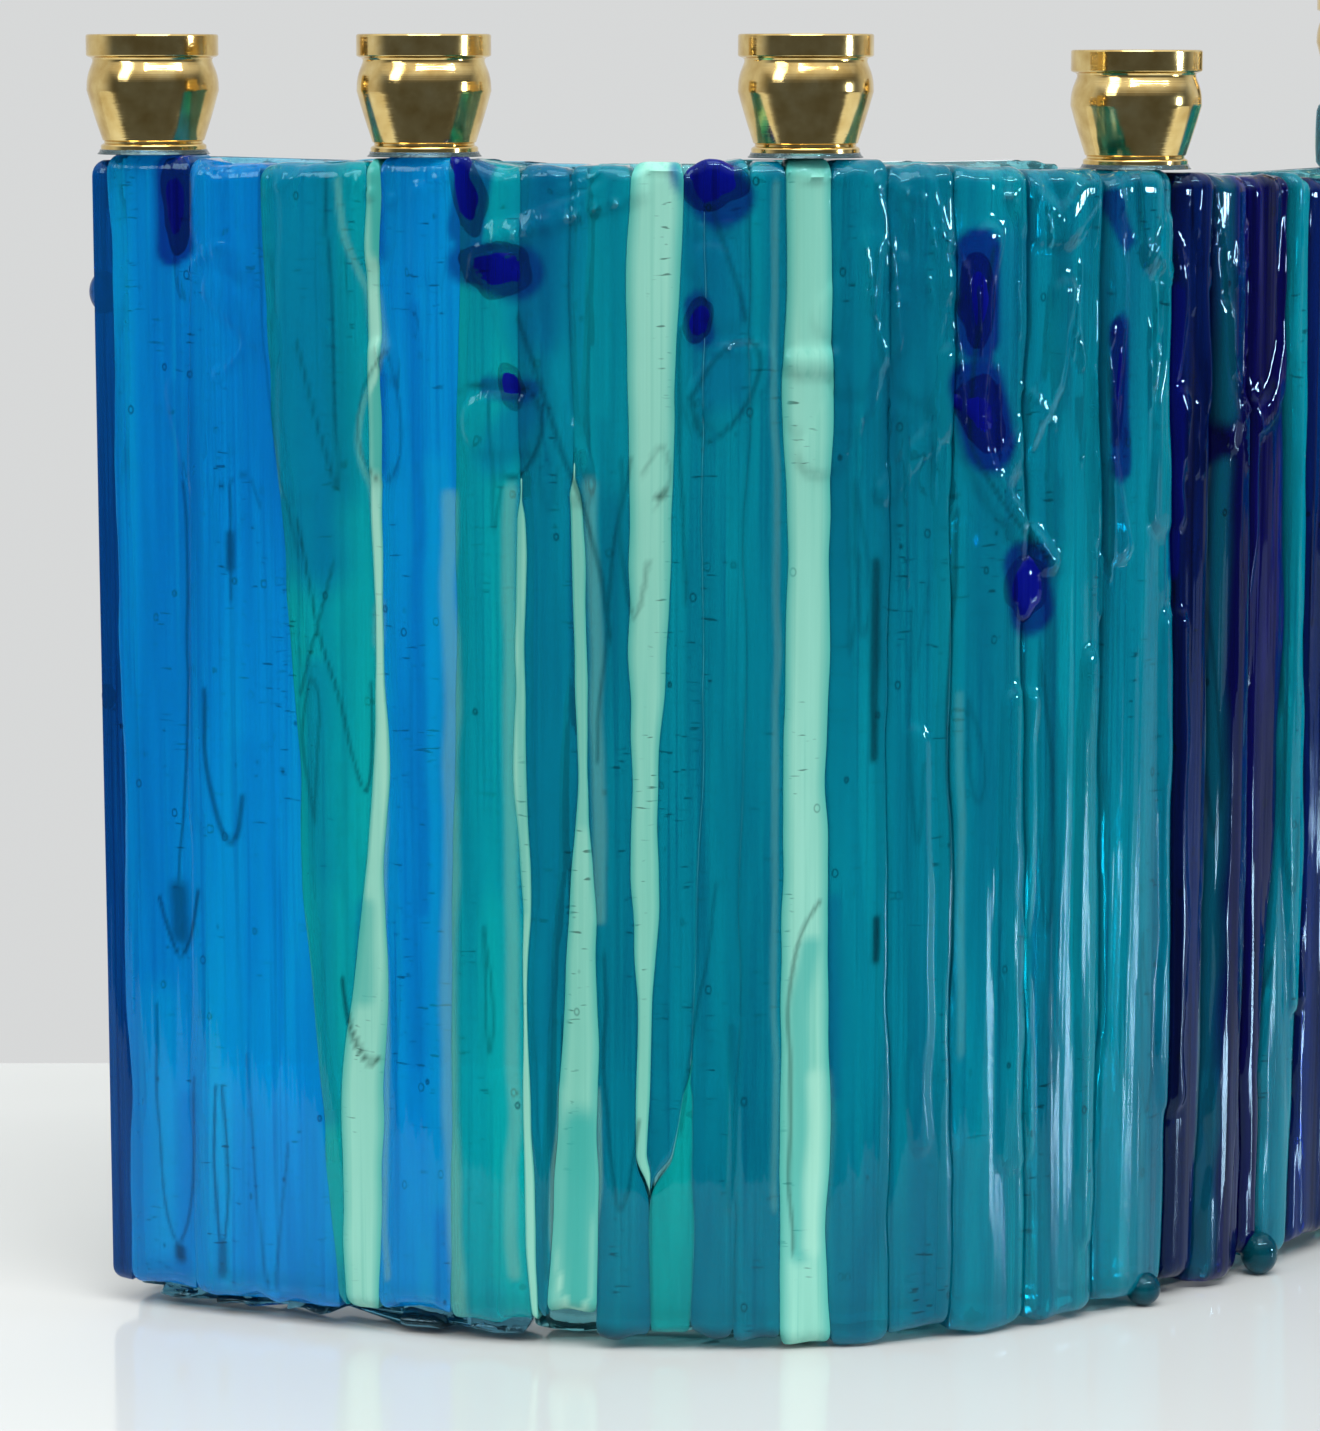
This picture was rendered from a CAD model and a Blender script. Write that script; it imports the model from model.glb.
"""The looks of a fused glass menorah: a wavy wall of glass strips with brass candle cups on top.

Every strip is rebuilt as a closed glass body with ribs, lumps and melted ends, in the place
that its CAD solid holds. Lengths in this script are millimetres until a mesh is made, and s
runs along the wave from its left end.
"""

import math

import bpy
import numpy as np
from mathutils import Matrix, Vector


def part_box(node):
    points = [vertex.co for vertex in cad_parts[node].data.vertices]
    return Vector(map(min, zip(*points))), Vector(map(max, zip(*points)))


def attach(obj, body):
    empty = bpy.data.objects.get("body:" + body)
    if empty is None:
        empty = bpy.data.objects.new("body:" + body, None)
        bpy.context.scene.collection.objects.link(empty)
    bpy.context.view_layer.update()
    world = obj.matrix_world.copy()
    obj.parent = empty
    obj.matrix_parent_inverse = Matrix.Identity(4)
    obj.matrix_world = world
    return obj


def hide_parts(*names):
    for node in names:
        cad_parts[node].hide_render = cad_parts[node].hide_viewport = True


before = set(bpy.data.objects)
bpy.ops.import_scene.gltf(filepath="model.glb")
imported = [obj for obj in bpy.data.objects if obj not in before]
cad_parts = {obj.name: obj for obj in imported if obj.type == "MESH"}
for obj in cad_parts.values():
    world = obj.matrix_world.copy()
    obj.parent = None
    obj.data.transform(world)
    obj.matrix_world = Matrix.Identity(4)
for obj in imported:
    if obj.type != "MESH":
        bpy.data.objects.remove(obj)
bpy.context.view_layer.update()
MM = 0.001

# ---------------- the wave that the wall follows

WAVE_LENGTH = 370.0
WAVE_AMPLITUDE = 45.0
wave_x = np.linspace(-WAVE_LENGTH / 2, WAVE_LENGTH / 2, 4001)
wave_y = WAVE_AMPLITUDE * np.sin(2 * np.pi * wave_x / WAVE_LENGTH)
wave_s = np.concatenate([[0.0], np.cumsum(np.hypot(np.diff(wave_x), np.diff(wave_y)))])
WALL_LENGTH = wave_s[-1]


def heading(s):
    """The wall's direction in plan at s, in radians from the X axis."""
    x = np.interp(s, wave_s, wave_x)
    return np.arctan(WAVE_AMPLITUDE * 2 * np.pi / WAVE_LENGTH * np.cos(2 * np.pi * x / WAVE_LENGTH))


def on_wall(s, ahead, z):
    """Points at s along the wave, ahead of the wall's middle and z up. Arrays or numbers."""
    turn = heading(s)
    beyond = s - np.clip(s, 0, WALL_LENGTH)
    x = np.interp(s, wave_s, wave_x) + ahead * np.sin(turn) + beyond * np.cos(turn)
    y = np.interp(s, wave_s, wave_y) - ahead * np.cos(turn) + beyond * np.sin(turn)
    return np.stack(np.broadcast_arrays(x, y, z), axis=-1)


def to_wall(points):
    """The (s, ahead) of points: the inverse of on_wall."""
    gap = np.hypot(points[:, 0, None] - wave_x[None, ::4], points[:, 1, None] - wave_y[None, ::4])
    s = wave_s[::4][gap.argmin(axis=1)]
    turn = heading(s)
    foot = on_wall(s, 0.0, 0.0)[:, :2]
    away = points[:, :2] - foot
    s = s + away[:, 0] * np.cos(turn) + away[:, 1] * np.sin(turn)
    ahead = away[:, 0] * np.sin(turn) - away[:, 1] * np.cos(turn)
    return s, ahead


# ---------------- noise and relief


def noise(x, y, seed):
    """Smooth random values from -1 to 1 over the plane, the same for the same seed."""
    lattice = np.random.default_rng(seed).uniform(-1, 1, (64, 64))
    x, y = np.broadcast_arrays(np.asarray(x, float), np.asarray(y, float))
    col, row = np.floor(x).astype(int), np.floor(y).astype(int)
    fx, fy = x - col, y - row
    fx, fy = fx * fx * (3 - 2 * fx), fy * fy * (3 - 2 * fy)
    c0, c1, r0, r1 = col % 64, (col + 1) % 64, row % 64, (row + 1) % 64
    low = lattice[r0, c0] * (1 - fx) + lattice[r0, c1] * fx
    high = lattice[r1, c0] * (1 - fx) + lattice[r1, c1] * fx
    return low * (1 - fy) + high * fy


def smooth_step(value, start, end):
    share = np.clip((value - start) / (end - start), 0, 1)
    return share * share * (3 - 2 * share)


# ---------------- what lies in and on the glass
# Every path is a list of (s, z) corners on the wall's front.

# Dark lines inside the glass, where one piece ends over another: width, strength and path
DARK_LINES = [
    (0.5, 0.65, [(13.5, 117), (14, 98), (13, 78), (12, 61)]),
    (0.6, 0.8, [(8.5, 59), (10, 54), (12, 50), (14, 55), (15, 60)]),
    (3.0, 0.75, [(11.8, 60), (12, 54)]),
    (0.8, 0.75, [(16, 88), (16.5, 76), (18.5, 68), (21, 67.5), (22, 74)]),
    (0.5, 0.6, [(20.5, 117), (20.5, 101)]),
    (1.4, 0.8, [(20.4, 110.5), (20.4, 106)]),
    (0.4, 0.45, [(19, 117), (23.5, 119), (25, 114)]),
    (0.5, 0.6, [(8, 44), (8, 26), (9, 14), (11, 8), (13.5, 16), (14, 34)]),
    (1.8, 0.9, [(11.2, 8.6), (11.3, 7.6)]),
    (0.5, 0.7, [(17.5, 33), (16.5, 19), (17.5, 7), (19, 20), (18.5, 33)]),
    (1.5, 0.7, [(17.6, 10), (17.6, 6.4)]),
    (0.4, 0.5, [(22, 38), (23, 20), (25, 5)]),
    (0.4, 0.5, [(28, 26), (26, 5)]),
    (0.4, 0.4, [(25.5, 159), (25.5, 138), (27, 125), (30.5, 107)]),
    (0.45, 0.55, [(35.5, 159), (36, 132), (37, 115), (35, 121), (31, 136)]),
    (0.45, 0.5, [(33, 71), (30.5, 84), (32, 92), (33.5, 88), (33, 71)]),
    (0.45, 0.7, [(30.5, 112), (33.5, 98), (37, 85), (40, 75), (41, 80), (41, 90)]),
    (0.45, 0.6, [(36, 107), (33.5, 98), (30.5, 89)]),
    (0.6, 0.8, [(36.5, 50), (37.5, 42), (40, 38), (41.5, 39)]),
    (0.4, 0.5, [(43.5, 136), (40.4, 132), (39.2, 125), (40.5, 120)]
     + [(43, 117), (45.5, 120), (46, 128), (43.5, 136)]),
    (0.6, 0.7, [(53.6, 131), (59, 132.4), (63.5, 131), (65, 126), (63, 120), (57.5, 119)]),
    (0.6, 0.6, [(61.5, 141), (65, 129), (68.5, 119), (72, 108), (73, 98)]),
    (0.5, 0.5, [(75.5, 122), (73.5, 108), (72.5, 98), (71.5, 81)]),
    (0.5, 0.3, [(77, 120), (79.5, 124), (81, 120), (79, 116)]),
    (0.9, 0.8, [(79.2, 117.5), (80.0, 117.9)]),
    (0.5, 0.5, [(82, 139), (81.5, 124), (82.5, 114), (82.5, 103)]),
    (1.1, 0.8, [(106.4, 108), (106, 95), (106.4, 82)]),
    (0.9, 0.9, [(106.5, 59.5), (106.5, 53.5)]),
    (0.5, 0.55, [(99.4, 62), (97, 58), (96, 52), (95.5, 41), (96, 14)]),
    (0.4, 0.4, [(86.5, 65), (84.5, 49), (82, 31)]),
    (0.6, 0.5, [(83, 130), (87, 136), (91, 138), (92.5, 134), (89.5, 127), (84.5, 124), (83, 130)]),
    (0.6, 0.6, [(117, 114), (116, 89), (117, 48)]),
    (0.6, 0.6, [(121, 149), (117.5, 126), (119.5, 120), (129.5, 107)]),
    (0.6, 0.5, [(86, 155), (88, 148), (90, 140)]),
    (4.0, 0.8, [(71.6, 1.4), (75.6, 0.8)]),
    (3.4, 0.8, [(84.2, 1.4), (87.4, 1.2)]),
    (3.0, 0.7, [(92, 1.4), (93.4, 1.2)]),
]

# Pale seams between the strips: width, strength and path
PALE_LINES = [
    (2.0, 0.8, [(52, 116), (52.4, 75), (51.2, 48), (52, 23), (52.6, 1)]),
    (1.6, 0.6, [(70.5, 118), (71.5, 98), (71.6, 60)]),
    (1.7, 0.75, [(60.2, 118), (60.4, 70), (60.2, 10)]),
    (0.7, 0.8, [(66.4, 36), (65.2, 19), (66, 7), (68.5, 4.6), (71, 8), (71.6, 21), (71.6, 36)]),
    (0.9, 0.75, [(37, 158), (38.5, 148), (42, 141), (43, 134), (39.8, 128)]
     + [(39.4, 121), (42.4, 115), (42.8, 60), (42.4, 8)]),
    (2.2, 0.7, [(41.6, 143), (42.6, 136)]),
    (1.5, 0.7, [(42.4, 101), (42.5, 96)]),
    (0.8, 0.4, [(93.6, 158), (93.9, 80), (93.8, 20)]),
    (3.0, 0.8, [(99.4, 38), (99.8, 30), (98.8, 15)]),
    (0.9, 0.4, [(159.2, 118), (159.6, 60), (158.4, 20)]),
    (1.0, 0.3, [(117.8, 90), (118.2, 40)]),
]

# Lighter places, where the glass is thin: width, strength and path
LIGHTS = [
    (5.0, 0.55, [(38.0, 112), (40.5, 84), (40.0, 62)]),
    (5.0, 0.5, [(76.0, 158), (75.0, 120)]),
    (3.0, 0.5, [(71.5, 158), (72.5, 128)]),
    (4.0, 0.6, [(34.5, 60), (36.0, 12)]),
    (5.5, 0.5, [(9.0, 44), (9.0, 10)]),
    (3.0, 0.6, [(50.0, 120), (50.0, 20)]),
    (4.0, 0.4, [(58.5, 60), (59.0, 10)]),
    (6.0, 0.35, [(43, 158), (43, 150)]),
]

# Places where another colour shows through the glass: width, strength and path
SHADES = [
    (9.5, 0.85, [(30, 160), (31, 122), (33, 108)]),
    (3.0, 0.45, [(33, 92), (34.5, 30)]),
    (2.6, 0.7, [(98.4, 56), (96.8, 46), (96.8, 14)]),
    (1.6, 0.55, [(101, 62), (101.5, 36)]),
    (5.0, 0.9, [(69, 31), (68.6, 8)]),
    (2.6, 0.6, [(40, 60), (39.5, 47)]),
    (5.0, 0.7, [(62, 128), (58, 122)]),
    (1.6, 0.6, [(47.6, 142), (48.2, 60)]),
    (6.0, 0.5, [(124, 150), (121, 126)]),
    (7.0, 0.6, [(86, 150), (87.5, 132)]),
    (3.0, 0.5, [(13, 30), (12, 6)]),
    (5.0, 0.25, [(23, 80), (22, 8)]),
    (8.0, 0.6, [(66, 158), (64, 140)]),
    (2.4, 0.95, [(42.5, 160), (42.5, 149)]),
    (2.4, 0.85, [(42.6, 132), (42.6, 120)]),
    (3.4, 0.55, [(94.5, 161), (100, 161)]),
    (1.2, 0.4, [(61.4, 118), (61.8, 60)]),
    (2.6, 0.35, [(69.4, 118), (69.6, 74)]),
    (3.4, 0.8, [(161.2, 160), (161.4, 126)]),
    (2.8, 0.8, [(161.4, 118), (161.2, 56), (159.8, 3)]),
]

# Cobalt blue that has run from the chips into the glass around them: width, strength and path
COBALT_RUNS = [
    (5.5, 0.9, [(12.7, 160), (12.6, 149)]),
    (5.0, 0.75, [(55.6, 161), (54.4, 152)]),
    (7.0, 0.8, [(55.4, 147.4), (61.6, 146.4)]),
    (3.4, 0.7, [(58.0, 131.6), (62.6, 131)]),
    (8.0, 0.9, [(84.6, 159.6), (87.4, 156)]),
    (3.4, 0.8, [(84.0, 142), (84.6, 138)]),
    (6.0, 0.95, [(119.3, 149), (119.6, 137)]),
    (3.2, 0.9, [(119.6, 137), (120.6, 131)]),
    (7.6, 0.95, [(119.2, 131), (121.2, 123)]),
    (6.6, 0.9, [(126.6, 106.5), (127.8, 100)]),
    (3.4, 0.9, [(141.0, 138), (141.4, 119)]),
    (3.0, 0.8, [(139.6, 155.6), (141.8, 150)]),
    (2.2, 0.75, [(151.8, 142), (152.2, 104)]),
    (7.0, 0.9, [(263.2, 156), (260.8, 144)]),
    (6.0, 0.9, [(317.0, 144), (319.0, 134)]),
    (5.5, 0.9, [(371.6, 158), (370.4, 148)]),
]

# Cords and pads of glass melted on to the front: width, height and path
CORDS = [
    (6.5, 0.3, [(18, 158), (17, 151), (22, 148)]),
    (5.5, 0.32, [(19, 143), (27, 136)]),
    (5.0, 0.25, [(13, 130), (16, 118)]),
    (7.0, 0.3, [(31, 158), (30.6, 118)]),
    (7.5, 0.35, [(41, 160), (41, 150)]),
    (6.5, 0.45, [(43, 134), (43, 121)]),
    (5.5, 0.3, [(49, 156), (49, 147)]),
    (4.5, 0.45, [(58, 151.5), (67, 154), (76, 157.5)]),
    (4.5, 0.4, [(66, 160), (70, 161), (76, 158.5)]),
    (6.0, 0.45, [(57, 148), (61, 141), (65, 129), (69, 119)]),
    (9.0, 0.55, [(58, 126), (61, 126)]),
    (6.0, 0.45, [(85.5, 148), (87, 142)]),
    (8.0, 0.5, [(86, 129), (90, 134)]),
    (6.0, 0.3, [(97, 158), (97.5, 128)]),
    (5.5, 0.55, [(104, 158), (107, 150), (106, 140)]),
    (6.0, 0.55, [(111, 157), (114, 146), (111, 132)]),
    (5.0, 0.7, [(121, 151), (117.5, 128), (120, 119), (130, 107)]),
    (4.5, 0.65, [(132, 143), (130, 129), (123, 119)]),
    (6.0, 0.8, [(126, 157), (131, 150), (136, 156)]),
    (5.5, 0.8, [(139, 158), (140, 140), (138, 122), (141, 108)]),
    (6.0, 0.9, [(146, 158), (147, 148)]),
    (5.0, 0.8, [(150, 152), (152, 138), (149, 124), (152, 112)]),
    (5.5, 1.00, [(157, 158), (158.5, 129), (166.5, 122)]),
    (5.0, 1.00, [(176.5, 158), (176, 128), (166.5, 122)]),
    (6.5, 1.1, [(166.5, 124), (165.5, 56), (162.5, 3)]),
    (5.0, 0.9, [(179.6, 155), (178.5, 123), (178.8, 83), (181, 39)]),
    (6.0, 0.8, [(152, 96), (153, 30)]),
    (6.0, 0.8, [(126, 88), (126, 26)]),
    (4.5, 0.7, [(137, 92), (137.5, 12)]),
    (4.0, 0.6, [(112, 84), (112.5, 28)]),
    (2.5, 0.5, [(88.8, 46), (88.9, 20)]),
]

# Sharp little ridges that catch the light: width, height and path
RIDGES = [
    (0.9, 0.3, [(15, 146), (18, 149), (22, 148.6)]),
    (0.8, 0.25, [(17.5, 159), (22, 160)]),
    (0.9, 0.3, [(18, 131.6), (21, 133), (23, 135.6)]),
    (0.8, 0.25, [(26.5, 156.6), (32, 159)]),
    (0.8, 0.3, [(38, 159), (41, 156.5), (45, 155.6)]),
    (0.9, 0.35, [(42.4, 136.4), (42.8, 134)]),
    (0.8, 0.25, [(47, 157), (52, 158.4)]),
    (0.9, 0.35, [(58, 150.6), (66, 153), (75.6, 156)]),
    (0.8, 0.3, [(66, 157), (70, 158), (73, 160.4), (68, 161)]),
    (0.9, 0.35, [(56.4, 129.4), (63.6, 129.6)]),
    (0.7, 0.3, [(54.8, 145), (55.4, 147.6)]),
    (0.8, 0.25, [(77.6, 159.6), (81.4, 159.6)]),
    (0.8, 0.3, [(84, 151.8), (88.6, 152.6)]),
    (0.8, 0.3, [(85.6, 136.6), (90.4, 136)]),
    (0.8, 0.3, [(83.4, 126.4), (86, 129.8)]),
    (0.8, 0.35, [(95, 159.4), (102, 158.4)]),
    (0.8, 0.35, [(106, 158), (112, 156)]),
    (0.8, 0.35, [(113, 152), (117.6, 149), (118.2, 138)]),
    (0.8, 0.35, [(122, 156), (127, 157), (131, 153)]),
    (0.8, 0.35, [(126, 131), (131, 125)]),
    (0.8, 0.35, [(121, 121), (131, 106)]),
    (0.8, 0.35, [(140, 120), (140.4, 104)]),
    (0.8, 0.35, [(143, 150), (149, 146)]),
    (0.8, 0.35, [(160.5, 150), (162, 131)]),
    (0.6, 0.4, [(110, 128), (110.4, 104)]),
    (0.6, 0.4, [(113.6, 128), (113.8, 116)]),
    (0.6, 0.4, [(137, 132), (137.4, 116)]),
    (0.9, 0.5, [(139, 107), (139, 99)]),
    (0.7, 0.4, [(163.4, 129), (166.5, 124), (170, 129)]),
    (0.7, 0.35, [(108, 150), (109, 136)]),
    (0.7, 0.35, [(104.4, 150), (105.8, 141)]),
    (0.7, 0.4, [(147, 144), (147.6, 130)]),
    (0.7, 0.4, [(154.6, 154), (155, 140)]),
]

# Dark toes of the back layer that show under the front strips: start and end along the wave
TOES = [(6.0, 13.0), (15.0, 22.0), (26.0, 33.0), (43.0, 50.2), (53.0, 62.0)]
TOE_TALL, TOE_AHEAD = 3.3, 5.6

CORD_EDGE = 1.1


def away_from(s, z, path):
    """How far the points (s, z) lie from a path."""
    nearest = np.full(np.broadcast(s, z).shape, 1e3)
    for (s0, z0), (s1, z1) in zip(path[:-1], path[1:]):
        run_s, run_z = s1 - s0, z1 - z0
        share = np.clip(((s - s0) * run_s + (z - z0) * run_z) / (run_s**2 + run_z**2), 0, 1)
        nearest = np.minimum(nearest, np.hypot(s - s0 - share * run_s, z - z0 - share * run_z))
    return nearest


def rounded(path):
    """A path with its corners cut twice, so that it bends smoothly."""
    corners = np.array(path, float)
    for _ in range(2 if len(path) > 2 else 0):
        ahead = 0.75 * corners[:-1] + 0.25 * corners[1:]
        behind = 0.25 * corners[:-1] + 0.75 * corners[1:]
        cut = np.stack([ahead, behind], axis=1).reshape(-1, 2)
        corners = np.vstack([corners[:1], cut, corners[-1:]])
    return [tuple(corner) for corner in corners]


def near(s, width, path):
    """Whether a stroke of this width comes within reach of these s."""
    stations = [corner[0] for corner in path]
    return min(stations) - width - 2 < s.max() and max(stations) + width + 2 > s.min()


def painted(s, z, strokes, softness):
    """The strength of the strongest stroke at each (s, z).

    softness is how wide a stroke's blurred edge is, as a share of its width.
    """
    drift_s = s + 0.35 * noise(s / 6, z / 8, 71)
    drift_z = z + 0.6 * noise(s / 5, z / 9, 72)
    total = np.zeros(np.broadcast(s, z).shape)
    for width, strength, path in strokes:
        if near(s, width, path):
            inside = width / 2 - away_from(drift_s, drift_z, rounded(path))
            blur = softness * width
            total = np.maximum(total, strength * smooth_step(inside, -blur, blur))
    return total


def melted_on(s, z, cords):
    """How far the cords stand out at (s, z): flat on top, with a round shoulder."""
    drift_s = s + 0.6 * noise(s / 7, z / 9, 73)
    drift_z = z + 0.8 * noise(s / 6, z / 7, 74)
    height = np.zeros(np.broadcast(s, z).shape)
    for width, stand, path in cords:
        if near(s, width, path):
            inside = width / 2 - away_from(drift_s, drift_z, rounded(path))
            crest = 0.75 + 0.25 * np.clip(2 * inside / width, 0, 1)
            height = np.maximum(height, stand * crest * smooth_step(inside, -0.1, CORD_EDGE))
    return height


def ridged(s, z, ridges):
    """How far the sharp little ridges stand out at (s, z)."""
    height = np.zeros(np.broadcast(s, z).shape)
    for width, stand, path in ridges:
        if near(s, width, path):
            inside = width / 2 - away_from(s, z, rounded(path))
            height = np.maximum(height, stand * smooth_step(inside, 0, width / 2))
    return height


def random_cords(start, end, count, seed):
    """Cords at random near the top edge, for the parts of the wall that no list covers."""
    random = np.random.default_rng(seed)
    cords = []
    for _ in range(count):
        s, z = random.uniform(start, end), random.uniform(122, 158)
        length, lean = random.uniform(4, 26), math.radians(random.normal(0, 32))
        low = (s + length * math.sin(lean), z - length * math.cos(lean))
        bend = (s + random.normal(0, 1.5), z - length / 2)
        cords.append((random.uniform(4, 7.5), random.uniform(0.5, 1.0), [(s, z), bend, low]))
    return cords


def random_loops(start, end, count, seed):
    """Long thin loops and hooks of dark line at random."""
    random = np.random.default_rng(seed)
    loops = []
    for _ in range(count):
        s, z = random.uniform(start, end), random.uniform(14, 118)
        half, length = random.uniform(0.6, 2.4), random.uniform(14, 46)
        down = [(s - half, z + length), (s - 0.8 * half, z + 0.3 * length), (s, z)]
        path = down + [(s + half, z + 0.4 * length)]
        if random.random() < 0.4:
            path.append((s - half, z + length))
        loops.append((random.uniform(0.4, 0.6), random.uniform(0.2, 0.5), path))
    return loops


SEEN_END = 205.0
FRONT_CORDS = CORDS + random_cords(96, 160, 10, 11) + random_cords(SEEN_END, 415, 60, 12)
BACK_CORDS = random_cords(5, 415, 60, 13)
FRONT_LINES = DARK_LINES + random_loops(50, SEEN_END, 22, 14) + random_loops(SEEN_END, 415, 40, 15)
BACK_LINES = random_loops(5, 415, 50, 16)
FRONT_PALE = PALE_LINES + [(1.2, 0.5, path) for _, _, path in random_loops(SEEN_END, 415, 8, 17)]
FRONT_RIDGES = [(width, 1.5 * height, path) for width, height, path in RIDGES]
FRONT_RIDGES += [(0.8, 0.3, path[:2]) for _, _, path in random_cords(SEEN_END, 415, 40, 18)]
FRONT_RIDGES += [(0.6, 0.42, path[:2]) for _, _, path in random_cords(100, 168, 46, 19)]


def relief(s, z, cords, seed):
    """A face's height over (s, z): slow swells, fine upright ribs and melted-on cords."""
    wander = 2.2 * noise(s / 14, z / 70, seed + 1)
    slow = 0.26 * noise(s / 9, z / 45, seed + 2)
    ribs = noise((s + wander) / 2.3, z / 140, seed + 3)
    ribs = ribs + 0.5 * noise((s + wander) / 1.2, z / 90, seed + 4)
    ribbed = 0.25 + 0.75 * smooth_step(s, 78, 112) * (1 - 0.4 * smooth_step(s, 330, 380))
    return slow + 0.17 * ribs * ribbed + melted_on(s, z, cords)


def toes(s, z):
    """How much of a dark toe there is at (s, z), from 0 to 1."""
    share = np.zeros(np.broadcast(s, z).shape)
    tall = np.sqrt(np.clip(1 - (2 * z / TOE_TALL - 1) ** 2, 0, 1))
    for start, end in TOES:
        wide = smooth_step(s, start - 0.8, start + 0.9) * (1 - smooth_step(s, end - 0.9, end + 0.8))
        share = np.maximum(share, wide * tall)
    return share


# ---------------- glass strips

LEVELS = (6.0, 40.0, 80.0, 150.0)  # where the CAD strips change width
END_ROUND = 1.6  # how the CAD strips' ends are rounded
END_DEPTH, EDGE_ROUND = 1.9, 1.4  # how far the shown strips' ends fall back and their edges round
FRONT_FACE, FRONT_LAYER_BACK = 6.5, -0.4
BACK_LAYER_FRONT, BACK_FACE = -0.5, -6.5
SIDE_GAP = 0.015
FRONT_COLUMNS, BACK_COLUMNS = (0.27, 3.0), (0.62, 0.9)
ROW = 0.8
PROFILE_Z = np.arange(-2.0, 165.0, 1.0)
FOOT_SWING, TOP_SWING = 1.7, 1.2  # how uneven a strip's ends are
STANDING = (6.6, 46.7, 98.3, 150.4, WALL_LENGTH / 2)  # the cups' places up to the middle
STANDING += tuple(WALL_LENGTH - station for station in STANDING[:4])
FULL_TOP, FULL_FOOT = 150.0, 10.0  # a strip that ends short of these lets its neighbours close over it
CLOSING_ROUNDS = 4  # so that two such strips side by side close as well


def cad_points(node):
    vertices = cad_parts[node].data.vertices
    return np.array([vertex.co for vertex in vertices], float) / MM


def side_lines(node, flat_face):
    """The node's left and right sides as s over PROFILE_Z, from the corners of its flat face."""
    points = cad_points(node)
    s, ahead = to_wall(points)
    z = points[:, 2]
    foot, top = z.min(), z.max()
    inner = np.abs(ahead - flat_face) < 0.3
    levels, left, right = [], [], []
    for level in (foot + END_ROUND, *LEVELS, top - END_ROUND):
        here = inner & (np.abs(z - level) < 0.05)
        if here.any():
            levels.append(level)
            left.append(s[here].min())
            right.append(s[here].max())
    order = np.argsort(levels)
    window = np.hanning(27)
    lines = []
    for side in (left, right):
        straight = np.interp(PROFILE_Z, np.array(levels)[order], np.array(side)[order])
        lines.append(np.convolve(np.pad(straight, 13, mode="edge"), window / window.sum(), mode="valid"))
    return foot, top, lines[0], lines[1]


def shared_sides(nodes, flat_face, seed):
    """Each strip's (foot, top, left, right), with sides that waver and meet their neighbours'."""
    found = {node: side_lines(node, flat_face) for node in nodes}
    order = sorted(nodes, key=lambda node: found[node][2].mean() + found[node][3].mean())
    wide = [float((found[node][3] - found[node][2]).mean()) for node in order]
    sides = [found[order[0]][2]]
    for index, node in enumerate(order):
        side = found[node][3]
        if index + 1 < len(order):
            amount = min(0.45, 0.12 * (wide[index] + wide[index + 1]) / 2)
            slow = noise(PROFILE_Z / 16, 0.0, seed + index)
            side = side + amount * (slow + 0.5 * noise(PROFILE_Z / 6, 0.5, seed + index))
        sides.append(side)
    for index, node in list(enumerate(order)) * CLOSING_ROUNDS:
        foot, top = found[node][:2]
        gone = np.zeros_like(PROFILE_Z)
        if top < FULL_TOP:
            gone = smooth_step(PROFILE_Z, top - 7, top + 1)
        if foot > FULL_FOOT:
            gone = np.maximum(gone, smooth_step(-PROFILE_Z, -foot - 7, 1 - foot))
        middle = (sides[index] + sides[index + 1]) / 2
        sides[index] = sides[index] + (middle - sides[index]) * gone
        sides[index + 1] = sides[index + 1] + (middle - sides[index + 1]) * gone
    strips = {}
    for index, node in enumerate(order):
        foot, top = found[node][:2]
        strips[node] = (foot, top, sides[index], np.maximum(sides[index + 1], sides[index] + 0.25))
    return strips


def strip_heights(foot, top, rounding):
    """Heights of a strip's rings, closer together in its rounded ends."""
    steps = 1 - np.cos(np.linspace(0, np.pi / 2, 7))[1:]
    low = foot + rounding * np.concatenate([[0.0], steps])
    high = top - rounding * np.concatenate([[0.0], steps])[::-1]
    count = max(3, int((high[0] - low[-1]) / ROW))
    return np.concatenate([low, np.linspace(low[-1], high[0], count)[1:-1], high])


def end_inset(z, foot, top, rounding):
    """How far the rounded ends draw in at z, as a share of the rounding."""
    close = np.minimum(z - foot, top - z)
    depth = np.clip(1 - close / rounding, 0, 1)
    return 1 - np.sqrt(1 - depth**2)


def mesh_object(name, points, faces, attributes=None):
    """A shown mesh from points in millimetres."""
    mesh = bpy.data.meshes.new(name)
    mesh.from_pydata((np.asarray(points) * MM).tolist(), [], faces)
    for key, values in (attributes or {}).items():
        layer = mesh.attributes.new(key, "FLOAT", "POINT")
        layer.data.foreach_set("value", np.asarray(values, np.float32))
    mesh.validate()
    mesh.polygons.foreach_set("use_smooth", [True] * len(mesh.polygons))
    piece = bpy.data.objects.new(name, mesh)
    bpy.context.scene.collection.objects.link(piece)
    return piece


def ring_faces(rings, count, start=0):
    """Quads between rings of count points each."""
    faces = []
    for ring in range(rings - 1):
        low, high = start + ring * count, start + (ring + 1) * count
        for i in range(count):
            j = (i + 1) % count
            faces.append((low + i, low + j, high + j, high + i))
    return faces


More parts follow.
